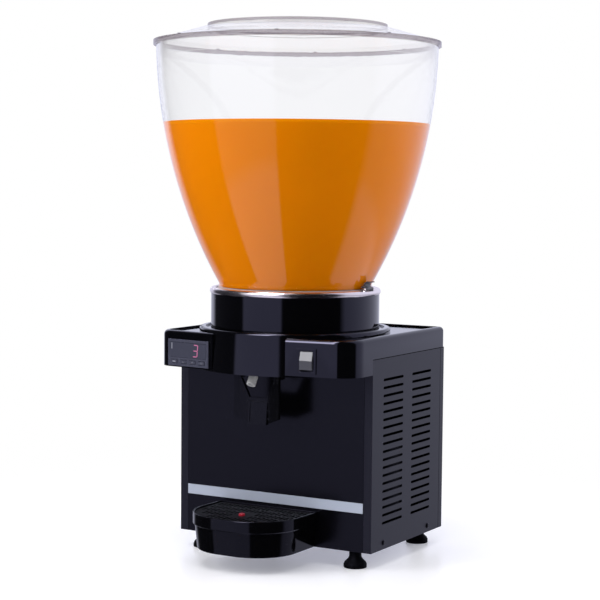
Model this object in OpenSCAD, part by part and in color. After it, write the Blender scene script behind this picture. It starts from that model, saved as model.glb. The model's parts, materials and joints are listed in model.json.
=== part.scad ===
// Counter-top cold drink dispenser with one clear bowl, a push-lever outlet and a drip tray.
// Millimetres, Z up. The origin is on the table, under the axis of the bowl. The front is -Y.

/* [Cabinet] */
// Width over the side panels
cab_w = 271.4; // [255:0.2:300]
// Depth from the front panel to the rear panel
cab_d = 193.5; // [185:0.5:215]
// Front panel ahead of the bowl axis
cab_front = 49.5; // [46:0.5:54]
// Height of the side panels
panel_h = 231.5; // [225:0.5:245]
// Thickness of the sheet metal panels
sheet = 1.2; // [1:0.1:1.5]
// Width of the side panel's flange on the front
flange_w = 10.7; // [8:0.1:14]
// Height of the pale strip on the front
strip_h = 12.3; // [8:0.1:16]

/* [Louvres] */
// Length of one ventilation slot
slot_len = 52.5; // [40:0.5:56]
// Height of one ventilation slot
slot_h = 3.2; // [2.4:0.1:4]
// Distance from slot to slot
slot_pitch = 9.6; // [8:0.1:10]

/* [Feet] */
// Height of a foot, the clearance under the cabinet
foot_h = 21; // [19:0.5:26]
// Diameter of a foot on the table
foot_d = 28; // [24:0.5:34]
// Thread diameter of the foot stud
stud_d = 7.9; // [6:0.1:9]

/* [Top cover] */
// Height of the cover's band above the side panels
cover_h = 25.5; // [23:0.5:28]
// Wall of the moulding
wall = 2.5; // [2:0.1:3]
// Height of the raised edge round the deck
lip_h = 2.2; // [1.5:0.1:4]
// Radius of the cover's upper edge
edge_r = 5.5; // [3:0.5:6]
// Turn of each control face away from straight ahead
ear_a = 7; // [4:0.5:10]
// Half width of the round front between the two control faces
ear_in = 51; // [48:0.5:54]

/* [Bowl and tower] */
// Outside radius of the bowl's neck
neck_r = 94.5; // [92:0.5:98]
// Outside radius of the bowl's mouth
mouth_r = 172.5; // [165:0.5:180]
// Height of the bowl
bowl_h = 293.8; // [280:0.2:310]
// Wall of the clear bowl and lid
bowl_t = 3; // [2.4:0.1:3.6]
// Height of the collar under the steel ring
collar_h = 44.7; // [40:0.1:50]
// Rise of the lid's centre above its edge
lid_rise = 26.3; // [22:0.1:32]

/* [Outlet] */
// Outside diameter of the outlet hose
hose_d = 11; // [10.5:0.5:13]
// Width of the push lever
lever_w = 62.5; // [60:0.5:65]
// Width of the lever's pad
pad_w = 26; // [24:0.5:30]

/* [Drip tray] */
// Half width of the tray
tray_r = 69.5; // [66:0.5:74]
// Radius of the tray's front corners
tray_round = 58; // [52:0.5:62]
// Height of the tray
tray_h = 44; // [40:0.5:46]
// Wall of the tray
tray_t = 2.2; // [1.8:0.1:2.6]

/* [Fits] */
// Gap between pieces that move past each other
gap = 0.3; // [0.25:0.05:0.4]
// Radial play of a shaft in its bore
play = 0.05; // [0.03:0.01:0.08]

/* [Hidden] */
$fn = 64;
xs = cab_w / 2;
xi = xs - sheet;
xf = xs - flange_w;
yf = -cab_front;
yb = cab_d - cab_front;
yi = yb - sheet;
y_seam = yb - 10;
seam = 0.8;
cover_yb = yb + 3;
z0 = foot_h;
base_t = 1.5;
zb = z0 + base_t;
base_edge = 15;
z1 = z0 + panel_h;
fp_top = z1 + 5.5;

slot_rows = 19;
slot_z = z0 + 32;
slot_y = [yf + 53.9, yf + 130.4];
side_screw_y = [yf + 32.2, yf + 152.3];
screw_z = z0 + 8;
rear_screw_x = xs - 15;
gland_x = -80;
gland_z = z0 + 30;

foot_x = xs - 27.7;
foot_y = [yf + 12.7, yb - 14];
neck_gap = 1.8;

cover_top = z1 + cover_h;
deck_z = cover_top - lip_h;
deck_u = deck_z - wall;
ear_z = cover_top - 44;
skirt_z = cover_top - 46;
ring_top = cover_top + 4.5;
ring_e = 3.2;
rear_r = edge_r + 1.5;
// Front corners of the cover: after the thermostat and, rounder, after the switch
ear_r = 20;
switch_r = 31;

collar_r = neck_r + 9.5;
collar_t = 2.5;
collar_top = ring_top + collar_h;
ring_r = collar_r + 14;
skirt_r = collar_r + 17;
pot_r = neck_r - 9.5;
pot_t = 1;
flange_t = 1.3;
pot_top = collar_top + flange_t;
pot_z = ring_top - 18.5;
rim_r = collar_r + 1.5;
bead_r = 4.3;
bead_z = pot_top - 2.1;
gasket_h = 2.5;
bowl_z = pot_top + gasket_h + gap;
bowl_top = bowl_z + bowl_h;
lid_z = bowl_top + gap;

// The bowl's wall is one arc through the neck and the mouth
neck_h = 4;
arc_z = bowl_top + 10.5;
arc_c = (mouth_r * mouth_r - neck_r * neck_r + pow(bowl_top - arc_z, 2)
    - pow(bowl_z + neck_h - arc_z, 2)) / (2 * (mouth_r - neck_r));
arc_r = sqrt(pow(mouth_r - arc_c, 2) + pow(bowl_top - arc_z, 2));

// Control faces: a point, a direction along the face and the corner after it
ear_x = ear_in;
ear_y = -sqrt(skirt_r * skirt_r - ear_in * ear_in);
ear_n = [sin(ear_a), -cos(ear_a)];
function ear_len(r) = (xs - r - ear_x + r * sin(ear_a)) / cos(ear_a);
function corner_y(r) = ear_y + ear_len(r) * sin(ear_a) + r * cos(ear_a);
ear_run = ear_len(ear_r);
thermo_u = ear_run / 2 + 2.5;
thermo_w = min(64, 2 * (thermo_u - 4.5));
thermo_z = ear_z + 17.8;
thermo_h = 32.5;
switch_u = 27.7;
switch_z = ear_z + 18;
switch_w = 23.5;
switch_h = 30;
key_n = 4;
key_pitch = thermo_w / 4.4;

// Outlet: a straight hose leaning forward, squeezed between a bar on the lever and a fixed bar
hose_a = 33.1;
hose_end = [-102.97 + 49.5 + yf, ear_z - 15];
hose_dir = [sin(hose_a), cos(hose_a)];
function hose_at(z) = [hose_end[0] + (z - hose_end[1]) * hose_dir[0] / hose_dir[1], z];
pinch = hose_at(ear_z + 4);
pinch_t = 4;
bar_r = 2.5;
bar_off = pinch_t / 2 + bar_r + gap;
bar_pos = [pinch[0] + hose_dir[1] * bar_off, pinch[1] - hose_dir[0] * bar_off];
anvil_off = pinch_t / 2 + bar_r + 0.05;
anvil_pos = [pinch[0] - hose_dir[1] * anvil_off, pinch[1] + hose_dir[0] * anvil_off];
spigot_r = 4.5;
pivot_y = yf - 30.5;
pivot_z = ear_z + 17;
pin_r = 2;
cheek_x = lever_w / 2 + 0.6;
cheek_t = 2.5;
pad_a = 5.5;
spring_z = bar_pos[1] + 1;

// Drip tray
tray_z = foot_h - 0.5;
tray_top = tray_z + tray_h;
tray_x = -6;
tray_cy = yf - 45.5;
tray_back = yf - gap;
band_h = 14;
draft = 3.5;
grid_t = 2.5;
grid_top = tray_top - 2;
grid_seat = grid_top - grid_t - gap;
grid_r = tray_r - tray_t - gap;
float_y = yf - 62;
tongue_x = 42;
tongue_w = 16;
tongue_z = z0 + 22;
tongue_h = 6;
tongue_l = 24;

// Machinery in the cabinet
bridge_z = z1 - 14;
motor_r = 30;
motor_h = 50;
shaft_r = 4;
mag_top = pot_z - 2;
cond_x = -xi + 8;
cond_w = 24;
cond_y = yf + 27;
cond_l = 137;
cond_rows = 8;
cond_p = 18;
cond_z = z0 + 27;
tube_r = 4;
fan_x = cond_x + cond_w;
fan_y = cond_y + cond_l / 2;
fan_z = cond_z + cond_p * (cond_rows - 1) / 2;
fan_r = 58;
comp_x = xs - 74;
comp_y = yb - 73;
comp_r = 50;
comp_z = z0 + 16;
comp_h = 128;
pipe_r = 3.2;
coil_r = 2.4;
coil_in = pot_r + pot_t + coil_r + 0.6;
coil_out = coil_in + 2 * coil_r + 0.7;
coil_turns = 4;
leg_z = ear_z + 5;
wrap_in = coil_out + coil_r + 0.6;
pivot_r = 4;

black = [0.03, 0.03, 0.035];
dark = [0.1, 0.1, 0.12];
steel = [0.75, 0.75, 0.77];
zinc = [0.6, 0.6, 0.62];
copper = [0.72, 0.42, 0.27];
clear = [0.85, 0.9, 0.95, 0.35];
grey = [0.8, 0.8, 0.8];

// Box from its low corner to its high corner
module block(a, b) {
  translate(a) cube([b[0] - a[0], b[1] - a[1], b[2] - a[2]]);
}

// Round bar between two points
module rod(a, b, r) {
  v = b - a;
  l = norm(v);
  translate(a) rotate([0, acos(v[2] / l), atan2(v[1], v[0])]) cylinder(r = r, h = l);
}

// Pipe with round elbows
module pipe(pts, r) {
  union() {
    for (i = [0 : len(pts) - 2]) rod(pts[i], pts[i + 1], r);
    for (i = [1 : 1 : len(pts) - 2]) translate(pts[i]) sphere(r = r + 0.4);
  }
}

module slot2d(l, h) {
  union() {
    square([l - h, h], center = true);
    for (s = [-1, 1]) translate([s * (l - h) / 2, 0]) circle(d = h);
  }
}

module both() {
  for (m = [0, 1]) mirror([m, 0, 0]) children();
}

// Local axes on a control face: x along the face, -y out of it
module on_ear(s, u, z) {
  translate([s * ear_x, ear_y, z]) rotate([0, 0, s * ear_a]) translate([s * u, 0, 0]) children();
}

// One unbroken tube of six sides along a path, with a side direction at each point
function unit(v) = v / norm(v);
module tube(path, side, r) {
  n = len(path);
  pts = [for (i = [0 : n - 1])
    let (t = unit(path[min(i + 1, n - 1)] - path[max(i - 1, 0)]), b = unit(cross(t, side[i])),
        a = cross(b, t))
    for (k = [0 : 5]) path[i] + r * (cos(60 * k) * a + sin(60 * k) * b)];
  faces = concat([[for (k = [0 : 5]) k]],
    [for (i = [0 : n - 2]) for (k = [0 : 5]) [i * 6 + k, i * 6 + 6 + k, i * 6 + 6 + (k + 1) % 6]],
    [for (i = [0 : n - 2]) for (k = [0 : 5]) [i * 6 + k, i * 6 + 6 + (k + 1) % 6, i * 6 + (k + 1) % 6]],
    [[for (k = [5 : -1 : 0]) (n - 1) * 6 + k]]);
  polyhedron(points = pts, faces = faces, convexity = 6);
}

module base_plate() {
  color(zinc) difference() {
    union() {
      block([-xi, yf + sheet, z0], [xi, yi, zb]);
      both() block([xi - base_t, yf + sheet, z0], [xi, yi, z0 + base_edge]);
      block([-xi, yf + sheet, z0], [xi, yf + sheet + base_t, z0 + base_edge]);
      block([-xi, yi - base_t, z0], [xi, yi, z0 + base_edge]);
    }
    for (y = foot_y) both() translate([foot_x, y, z0 - 1]) cylinder(r = stud_d / 2 + 0.5, h = 5);
    for (y = side_screw_y) both() translate([xi - 5, y, screw_z]) rotate([0, 90, 0]) cylinder(r = 1.6, h = 8);
    both() translate([rear_screw_x, yi + 3, screw_z]) rotate([90, 0, 0]) cylinder(r = 1.6, h = 8);
    for (i = [-3 : 3]) translate([i * 22 - 40, yf + 85, z0 - 1]) linear_extrude(5) rotate(90) slot2d(70, 6);
  }
}

module side_panel() {
  difference() {
    union() {
      block([xi, yf, z0], [xs, y_seam - seam / 2, z1 - seam]);
      block([xf, yf, z0], [xs, yf + sheet, z1 - seam]);
    }
    for (y = slot_y, i = [0 : slot_rows - 1])
      translate([xi - 2, y, slot_z + i * slot_pitch]) rotate([90, 0, 90]) linear_extrude(6)
          slot2d(slot_len, slot_h);
    for (y = side_screw_y) translate([xi - 2, y, screw_z]) rotate([0, 90, 0]) cylinder(r = 2.2, h = 6);
  }
}

module right_side_panel() {
  color(dark) side_panel();
}

module left_side_panel() {
  color(dark) mirror([1, 0, 0]) side_panel();
}

module front_panel() {
  color(black) difference() {
    block([-xf + 0.3, yf, z0], [xf - 0.3, yf + sheet, fp_top]);
    translate([tray_x, 0, 0]) both() block([tongue_x - tongue_w / 2 - 0.6, yf - 1, tongue_z - 0.6],
      [tongue_x + tongue_w / 2 + 0.6, yf + sheet + 1, tongue_z + tongue_h + 0.6]);
  }
}

module rear_panel() {
  color(dark) difference() {
    union() {
      block([-xs, yi, z0], [xs, yb, z1]);
      both() block([xi, y_seam + seam / 2, z0], [xs, yb, z1 - seam]);
    }
    for (x = [-xs * 0.62, -xs * 0.1], i = [0 : 12]) translate([x, yb + 1, z0 + 52 + i * 12.2])
        rotate([90, 0, 0])
      linear_extrude(5) slot2d(60, 4);
    both() for (z = [screw_z, z1 - 10]) translate([rear_screw_x, yb + 1, z]) rotate([90, 0, 0])
        cylinder(r = 2.2, h = 5);
    translate([gland_x, yb + 1, gland_z]) rotate([90, 0, 0]) cylinder(r = 6.5, h = 5);
  }
}

module front_trim_strip() {
  color([0.72, 0.75, 0.82]) block([-xf + 0.6, yf - 0.8, tray_top + 3.6],
      [xf - 0.6, yf, tray_top + 3.6 + strip_h]);
}

// Pan head screw pointing along +Z, its head under the plane z = 0
module screw(len) {
  union() {
    cylinder(r = 1.5, h = len);
    translate([0, 0, -1]) cylinder(r = 3.2, h = 1);
    translate([0, 0, -1.8]) cylinder(r1 = 2.2, r2 = 3.2, h = 0.8);
  }
}

module panel_screws() {
  color(steel) {
    for (y = side_screw_y) both() translate([xs, y, screw_z]) rotate([0, -90, 0]) screw(6);
    both() for (z = [screw_z, z1 - 10]) translate([rear_screw_x, yb, z]) rotate([90, 0, 0]) screw(6);
  }
}

module cord_gland() {
  color(black) translate([gland_x, yb, gland_z]) rotate([-90, 0, 0]) difference() {
    union() {
      translate([0, 0, -sheet - 5]) cylinder(r = 6.4, h = sheet + 8);
      cylinder(r = 10, h = 4);
      cylinder(r = 7.5, h = 11);
      translate([0, 0, -sheet - 5]) cylinder(r = 10, h = 5, $fn = 6);
    }
    translate([0, 0, -sheet - 6]) cylinder(r = 4, h = sheet + 20);
  }
}

module foot_nuts() {
  color(zinc) for (y = foot_y) both() translate([foot_x, y, zb]) difference() {
    cylinder(r = stud_d / 2 + 3.5, h = 6.5, $fn = 6);
    translate([0, 0, -1]) cylinder(r = stud_d / 2 + play, h = 9);
  }
}

module foot(x, y) {
  r = foot_d / 2;
  top = foot_h - neck_gap;
  color(black) translate([x, y, 0]) rotate_extrude()
      polygon([[0, 0], [r, 0], [r, 4.2], [r - 1.2, 6.8], [r - 4.4, 9.8],
    [r - 6.2, 12.2], [r - 6.6, 14.2], [r - 6.6, top], [stud_d / 2, top], [stud_d / 2, top + 17],
        [0, top + 17]]);
}

module foot_front_left() foot(-foot_x, foot_y[0]);
module foot_front_right() foot(foot_x, foot_y[0]);
module foot_rear_left() foot(-foot_x, foot_y[1]);
module foot_rear_right() foot(foot_x, foot_y[1]);

module tray_guide() {
  y0 = yf + sheet + base_t;
  color(dark) translate([tray_x, 0, 0]) both() difference() {
    block([tongue_x - tongue_w / 2 - 3, y0, zb],
        [tongue_x + tongue_w / 2 + 3, y0 + tongue_l + 1, tongue_z + tongue_h + 4]);
    block([tongue_x - tongue_w / 2 - 0.5, y0 - 1, tongue_z - gap],
      [tongue_x + tongue_w / 2 + 0.5, y0 + tongue_l - 1, tongue_z + tongue_h + 0.5]);
    block([tongue_x - tongue_w / 2, y0 + 3, zb - 1],
        [tongue_x + tongue_w / 2, y0 + tongue_l + 3, tongue_z - 2.5]);
  }
}

// One side of the deck's outline, set in by i, with a front corner of radius r
function half_plan(r, i) = [
  [xs - rear_r, cover_yb - i], [xs - i, cover_yb - rear_r], [xs - i, corner_y(r)],
  [xs - r, corner_y(r)] + (r - i - 0.02) * ear_n, [ear_x, ear_y] - i * ear_n];

// Outline of the deck and the control ears, set in by i
module body_plan(i) {
  left = half_plan(ear_r, i);
  union() {
    polygon(concat(half_plan(switch_r, i), [for (k = [4 : -1 : 0]) [-left[k][0], left[k][1]]]));
    for (s = [-1, 1]) {
      r = s > 0 ? switch_r : ear_r;
      translate([s * (xs - r), corner_y(r)]) circle(r = r - i);
      translate([s * (xs - rear_r), cover_yb - rear_r]) circle(r = rear_r - i);
    }
  }
}

// Half section of the round front and the ring under the collar, set in by i
module skirt_section(i) {
  union() {
    polygon([[0, skirt_z - i], [skirt_r - i, skirt_z - i], [ring_r - i, ring_top - ring_e],
        [ring_r - ring_e, ring_top - ring_e],
      [ring_r - ring_e, ring_top - i], [0, ring_top - i]]);
    translate([ring_r - ring_e, ring_top - ring_e]) circle(r = ring_e - i);
  }
}

module skirt_round(i) {
  rotate_extrude($fn = 128) skirt_section(i);
}

module ahead() {
  translate([-300, -300]) square([600, 300 + yf]);
}

// Deck and control ears as one block with a rounded upper edge
module cover_body() {
  e = 0.02;
  hull() {
    translate([0, 0, ear_z]) linear_extrude(cover_top - edge_r - ear_z) body_plan(0);
    for (a = [18 : 18 : 90])
      translate([0, 0, cover_top - edge_r + edge_r * sin(a) - e]) linear_extrude(e)
          body_plan(edge_r * (1 - cos(a)));
  }
}

module top_cover() {
  color(black) difference() {
    union() {
      difference() {
        cover_body();
        block([-300, yf, 0], [300, 300, z1]);
      }
      intersection() {
        skirt_round(0);
        union() {
          block([-300, -300, 0], [300, yf, 900]);
          block([-300, -300, deck_u], [300, 300, 900]);
        }
      }
    }
    // Recess inside the raised edge
    difference() {
      translate([0, 0, deck_z]) linear_extrude(cover_h) body_plan(edge_r + 1.3);
      skirt_round(0);
    }
    // Open underside behind the front panel
    translate([0, 0, z1 - 1]) linear_extrude(deck_u - z1 + 1) difference() {
      body_plan(wall);
      ahead();
      translate([-300, yb - sheet - 0.3]) square([600, 20]);
    }
    // Inside of the control ears
    translate([0, 0, ear_z + wall]) linear_extrude(deck_u - ear_z - wall) difference() {
      intersection() {
        body_plan(wall);
        ahead();
      }
      translate([-ear_in - 1, -300]) square([2 * ear_in + 2, 600]);
    }
    // Inside of the round front
    intersection() {
      skirt_round(3);
      union() {
        block([-ear_in + 1.5, -300, 0], [ear_in - 1.5, yf + 1, 900]);
        block([-300, -300, deck_u], [300, 300, 900]);
      }
    }
    cylinder(r = collar_r - collar_t - 1, h = 900, $fn = 128);
    // Groove round the collar
    rotate_extrude($fn = 128) translate([collar_r + 0.4, ring_top - 2]) square([6, 10]);
    on_ear(-1, thermo_u, thermo_z) block([-thermo_w / 2 + 3, -3, -13.6], [thermo_w / 2 - 3, 6, 13.6]);
    on_ear(1, switch_u, switch_z) block([-switch_w / 2 + 1.7, -3, -13.6], [switch_w / 2 - 1.7, 6, 13.6]);
  }
}

module collar() {
  color(black) rotate_extrude($fn = 128)
    translate([collar_r - collar_t, ring_top]) square([collar_t, collar_top - ring_top]);
}

module evaporator_pot() {
  spigot = hose_at(pot_z - 16);
  color(steel) difference() {
    union() {
      rotate_extrude($fn = 128) union() {
        translate([0, pot_z]) square([pot_r + pot_t, pot_t]);
        translate([pot_r, pot_z]) square([pot_t, pot_top - pot_z]);
        translate([pot_r, pot_top - flange_t]) square([rim_r - bead_r - pot_r, flange_t]);
        // Rolled rim over the collar
        difference() {
          translate([rim_r - bead_r, bead_z]) circle(r = bead_r);
          translate([0, bead_z - 20]) square([collar_r + 0.3, collar_top - bead_z + 20]);
        }
      }
      rod([0, hose_at(pot_z + 3)[0], pot_z + 3], [0, spigot[0], spigot[1]], spigot_r);
    }
    rod([0, hose_at(pot_z + 14)[0], pot_z + 14], [0, hose_at(pot_z - 24)[0], pot_z - 24], spigot_r - 1);
    // Seats of the latch brackets
    both() block([latch_x - 3.2, -latch_w / 2 - 2.5, latch_seat],
        [rim_r + 1, latch_w / 2 + 2.5, pot_top + 20]);
  }
}

// Coil: up from one leg, round the pot, and down the other leg outside the turns
coil_z0 = pot_z + 26;
coil_z1 = pot_top - 12;
coil_a0 = 100;
coil_deg = coil_turns * 360 - 20;
coil_bend = 8;
coil_n = coil_turns * 36;
function coil_pt(a, r, z) = [r * cos(a), r * sin(a), z];
bend_deg = coil_bend / coil_in * 180 / PI;
coil_path = concat(
  [coil_pt(coil_a0 - bend_deg, coil_in, leg_z), coil_pt(coil_a0 - bend_deg, coil_in, coil_z0 - coil_bend)],
  [for (k = [1 : 3]) coil_pt(coil_a0 - bend_deg * cos(k * 22.5), coil_in,
      coil_z0 - coil_bend * (1 - sin(k * 22.5)))],
  [for (i = [0 : coil_n]) coil_pt(coil_a0 + coil_deg * i / coil_n,
    coil_in + (coil_out - coil_in) * max(0, (i - coil_n + 12) / 12), coil_z0 + (coil_z1 - coil_z0)
        * i / coil_n)],
  [for (k = [1 : 3]) coil_pt(coil_a0 + coil_deg + bend_deg * sin(k * 22.5), coil_out,
      coil_z1 - coil_bend * (1 - cos(k * 22.5)))],
  [coil_pt(coil_a0 + coil_deg + bend_deg, coil_out, coil_z1 - coil_bend),
      coil_pt(coil_a0 + coil_deg + bend_deg, coil_out, leg_z)]);
coil_side = [for (p = coil_path) unit([p[0], p[1], 0])];
coil_in_end = coil_path[0];
coil_out_end = coil_path[len(coil_path) - 1];
echo(coil_gap_turns = (coil_z1 - coil_z0) / coil_turns - 2 * coil_r,
    coil_gap_leg = coil_out - coil_in - 2 * coil_r);

module evaporator_coil() {
  color(copper) tube(coil_path, coil_side, coil_r);
}

module pot_insulation() {
  color([0.9, 0.86, 0.7]) rotate_extrude($fn = 128)
    translate([wrap_in, ring_top]) square([collar_r - collar_t - wrap_in, collar_top - ring_top]);
}

module bowl_gasket() {
  color(grey) rotate_extrude($fn = 128) translate([pot_r + 3, pot_top])
      square([neck_r + 1.5 - pot_r - 3, gasket_h]);
}

module bowl() {
  color(clear) rotate_extrude($fn = 128) union() {
    translate([neck_r - bowl_t, bowl_z]) square([bowl_t, neck_h + 1]);
    intersection() {
      translate([arc_c, arc_z]) difference() {
        circle(r = arc_r, $fn = 256);
        circle(r = arc_r - bowl_t, $fn = 256);
      }
      translate([neck_r - bowl_t - 20, bowl_z + neck_h]) square([200, bowl_h - neck_h]);
    }
  }
}

module lid() {
  rim = mouth_r + 3.5;
  plate = rim * 0.625;
  spig = mouth_r - bowl_t - 1.5;
  top = lid_z + lid_rise;
  color(clear) union() {
    rotate_extrude($fn = 128) polygon([[spig, lid_z], [rim, lid_z], [rim, lid_z + 5.5],
        [rim - 6, lid_z + 5.5],
      [plate, top - 3.1], [plate, top], [0, top], [0, top - 2.6], [plate - 2.6, top - 2.6],
          [plate - 2.6, top - 6],
      [spig - 2.5, lid_z + 3.6], [spig - 2.5, lid_z - 14], [spig, lid_z - 14]]);
    for (k = [0 : 7]) rotate(k * 45 + 22.5) translate([rim - 3, 0, lid_z + 5]) cylinder(r = 2, h = 1.6);
  }
}

latch_x = rim_r - 3.2;
latch_seat = pot_top + 0.5;
latch_z = latch_seat + 3.4;
latch_w = 14;

module latch_place() {
  translate([latch_x, 0, latch_z]) children();
}

module latch_brackets() {
  color(dark) both() latch_place() difference() {
    union() {
      block([-3, -latch_w / 2 - 2.2, -3.4], [1.8, latch_w / 2 + 2.2, -2.6]);
      for (s = [-1, 1]) translate([0, s * (latch_w / 2 + 1.3), 0]) {
        block([-2, -0.9, -3], [1.8, 0.9, 0]);
        rotate([90, 0, 0]) cylinder(r = 1.9, h = 1.8, center = true);
      }
    }
    rotate([90, 0, 0]) cylinder(r = 1.2, h = 40, center = true);
  }
}

module latch_pins() {
  color(steel) both() latch_place() rotate([90, 0, 0]) cylinder(r = 1.2, h = latch_w + 5, center = true);
}

module latch() {
  color(black) latch_place() rotate([90, 0, 0]) difference() {
    union() {
      cylinder(r = 2.2, h = latch_w, center = true);
      linear_extrude(latch_w, center = true) polygon([[-1.8, 0], [-6.6, 1], [-6.6, 2.6], [-4, 3.6],
          [-2.6, 7.4],
        [1.6, 9.2], [4.6, 8.6], [4.4, 7.5], [1.9, 7.6], [-0.4, 6.2], [-1, 3.4], [1.8, 0.4]]);
    }
    cylinder(r = 1.2 + play, h = latch_w + 2, center = true);
  }
}

module bowl_latch_right() latch();
module bowl_latch_left() mirror([1, 0, 0]) latch();

module lever_bracket() {
  color(zinc) difference() {
    union() {
      block([-cheek_x - cheek_t, yf - 1.5, pivot_z - 12], [cheek_x + cheek_t, yf, fp_top - 0.5]);
      both() {
        block([cheek_x, anvil_pos[0] - 3, anvil_pos[1] - 3], [cheek_x + cheek_t, yf, anvil_pos[1] + 5]);
        block([cheek_x, pivot_y - 6, anvil_pos[1] - 1], [cheek_x + cheek_t, yf, pivot_z + 5]);
      }
      rod([-cheek_x - 1, anvil_pos[0], anvil_pos[1]], [cheek_x + 1, anvil_pos[0], anvil_pos[1]], bar_r);
    }
    rod([-90, pivot_y, pivot_z], [90, pivot_y, pivot_z], pin_r + 0.02);
  }
}

module lever_pins() {
  color(steel) both() {
    rod([cheek_x - 9, pivot_y, pivot_z], [cheek_x + cheek_t, pivot_y, pivot_z], pin_r);
    rod([cheek_x + cheek_t, pivot_y, pivot_z], [cheek_x + cheek_t + 1.2, pivot_y, pivot_z], pin_r + 1.4);
  }
}

// Spring between the lever's bar and the bracket
spring_y0 = bar_pos[0] + bar_r + gap;
spring_y1 = yf - 1.5;
spring_turns = 6;
spring_n = spring_turns * 8;
spring_r = 4;
spring_w = 0.6;
spring_path = [for (i = [0 : spring_n]) [spring_r * cos(i * 45),
  spring_y0 + spring_w + (spring_y1 - spring_y0 - 2 * spring_w) * i / spring_n,
      spring_z + spring_r * sin(i * 45)]];
spring_side = [for (p = spring_path) unit([p[0], 0, p[2] - spring_z])];
echo(spring_gap = (spring_y1 - spring_y0 - 2 * spring_w) / spring_turns - 2 * spring_w);

module lever_spring() {
  color(steel) tube(spring_path, spring_side, spring_w);
}

// Local axes along the hose: z from the outlet end upwards, y across the squeeze
module on_hose(z) {
  p = hose_at(z);
  translate([0, p[0], p[1]]) rotate([-hose_a, 0, 0]) children();
}

module outlet_hose() {
  r = hose_d / 2;
  lower = (pinch[1] - hose_end[1]) / cos(hose_a);
  upper = (pot_z - 6 - hose_end[1]) / cos(hose_a);
  flat_w = PI * r * 0.9;
  color(grey) on_hose(hose_end[1]) difference() {
    union() {
      cylinder(r = r, h = lower - 9);
      for (m = [0, 1]) translate([0, 0, lower]) mirror([0, 0, m]) hull() {
        translate([0, 0, 8.5]) cylinder(r = r, h = 0.5, $fn = 24);
        translate([-flat_w / 2, -pinch_t / 2, 1.6]) cube([flat_w, pinch_t, 0.1]);
      }
      translate([-flat_w / 2, -pinch_t / 2, lower - 1.65]) cube([flat_w, pinch_t, 3.3]);
      translate([0, 0, lower + 9]) cylinder(r = r, h = upper - lower - 9);
    }
    translate([0, 0, -1]) cylinder(r = r - 2, h = lower - 8);
    translate([0, 0, lower + 9.5]) cylinder(r = spigot_r + 0.02, h = upper);
  }
}

// The lever is drawn about its pivot: a plate curved to take a cup, hanging on two arms
module push_lever() {
  w = lever_w / 2;
  drop = 81;
  neck = 49;
  arm = 7.5;
  front = -5.5;
  curve_r = 100;
  bar = [bar_pos[0] - pivot_y, bar_pos[1] - pivot_z];
  color(black) translate([0, pivot_y, pivot_z]) difference() {
    union() {
      // Plate and arms, cut from one round wall
      intersection() {
        translate([0, front - curve_r, -drop - 2]) difference() {
          cylinder(r = curve_r + 4, h = drop + 10, $fn = 128);
          translate([0, 0, -1]) cylinder(r = curve_r, h = drop + 12, $fn = 128);
        }
        translate([0, front, 0]) rotate([90, 0, 0]) linear_extrude(40, center = true)
            polygon([[-w, -drop + 8],
          [-pad_w / 2, -drop + 1], [pad_w / 2, -drop + 1], [w, -drop + 8], [w, -6], [w - arm, -6],
              [w - arm, -24],
          [pad_w / 2 - 0.6, -neck], [-pad_w / 2 + 0.6, -neck], [-w + arm, -24], [-w + arm, -6], [-w, -6]]);
      }
      // Eyes at the pivot and the arms under them
      both() {
        translate([w - arm, 0, 0]) rotate([0, 90, 0]) cylinder(r = 5, h = arm);
        block([w - arm, front - 3, -26], [w, 3.5, -3]);
      }
      rod([-w + 3, bar[0], bar[1]], [w - 3, bar[0], bar[1]], bar_r);
      // Pad, thicker at its lower edge
      rotate([90, 0, 90]) linear_extrude(pad_w, center = true) polygon([[front - 0.8, -neck],
        [front - 0.8 - (drop - neck) * tan(pad_a), -drop], [front + 2, -drop], [front + 2, -neck]]);
      for (z = [-neck - 5, -neck - 15, -neck - 25])
          rod([-pad_w / 2 - 3.5, front - 0.8, z], [pad_w / 2 + 3.5, front - 0.8, z], 1);
    }
    translate([0, front - 0.8, -neck]) rotate([-pad_a, 0, 0])
      block([-pad_w / 2 + 2.4, -2, neck - drop + 3], [pad_w / 2 - 2.4, 0.7, -8]);
    rod([-90, 0, 0], [90, 0, 0], pin_r + play);
  }
}

// Tray outline in plan with the half width r, its back set in by i
module tray_plan(r, i) {
  c = tray_r - tray_round;
  union() {
    translate([-r, tray_cy]) square([2 * r, tray_back - i - tray_cy]);
    translate([-c, tray_cy - r + c]) square([2 * c, r - c + 1]);
    intersection() {
      for (s = [-1, 1]) translate([s * c, tray_cy]) circle(r = r - c, $fn = 128);
      translate([-r, tray_cy - 2 * r]) square([2 * r, 2 * r + 3]);
    }
  }
}

// Drafted body with the half width ra at the height za and rb at zb
module tray_body(ra, za, rb, zb, i) {
  c = tray_r - tray_round;
  fa = tray_cy - ra + c;
  fb = tray_cy - rb + c;
  union() {
    intersection() {
      for (s = [-1, 1]) translate([s * c, tray_cy, za])
          cylinder(r1 = ra - c, r2 = rb - c, h = zb - za, $fn = 128);
      block([-200, tray_cy - 200, za - 1], [200, tray_cy + 3, zb + 1]);
    }
    translate([-c, 0, 0]) rotate([90, 0, 90]) linear_extrude(2 * c)
      polygon([[fa, za], [tray_cy + 1, za], [tray_cy + 1, zb], [fb, zb]]);
    translate([0, tray_back - i, 0]) rotate([90, 0, 0]) linear_extrude(tray_back - i - tray_cy)
      polygon([[-ra, za], [ra, za], [rb, zb], [-rb, zb]]);
  }
}

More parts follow.
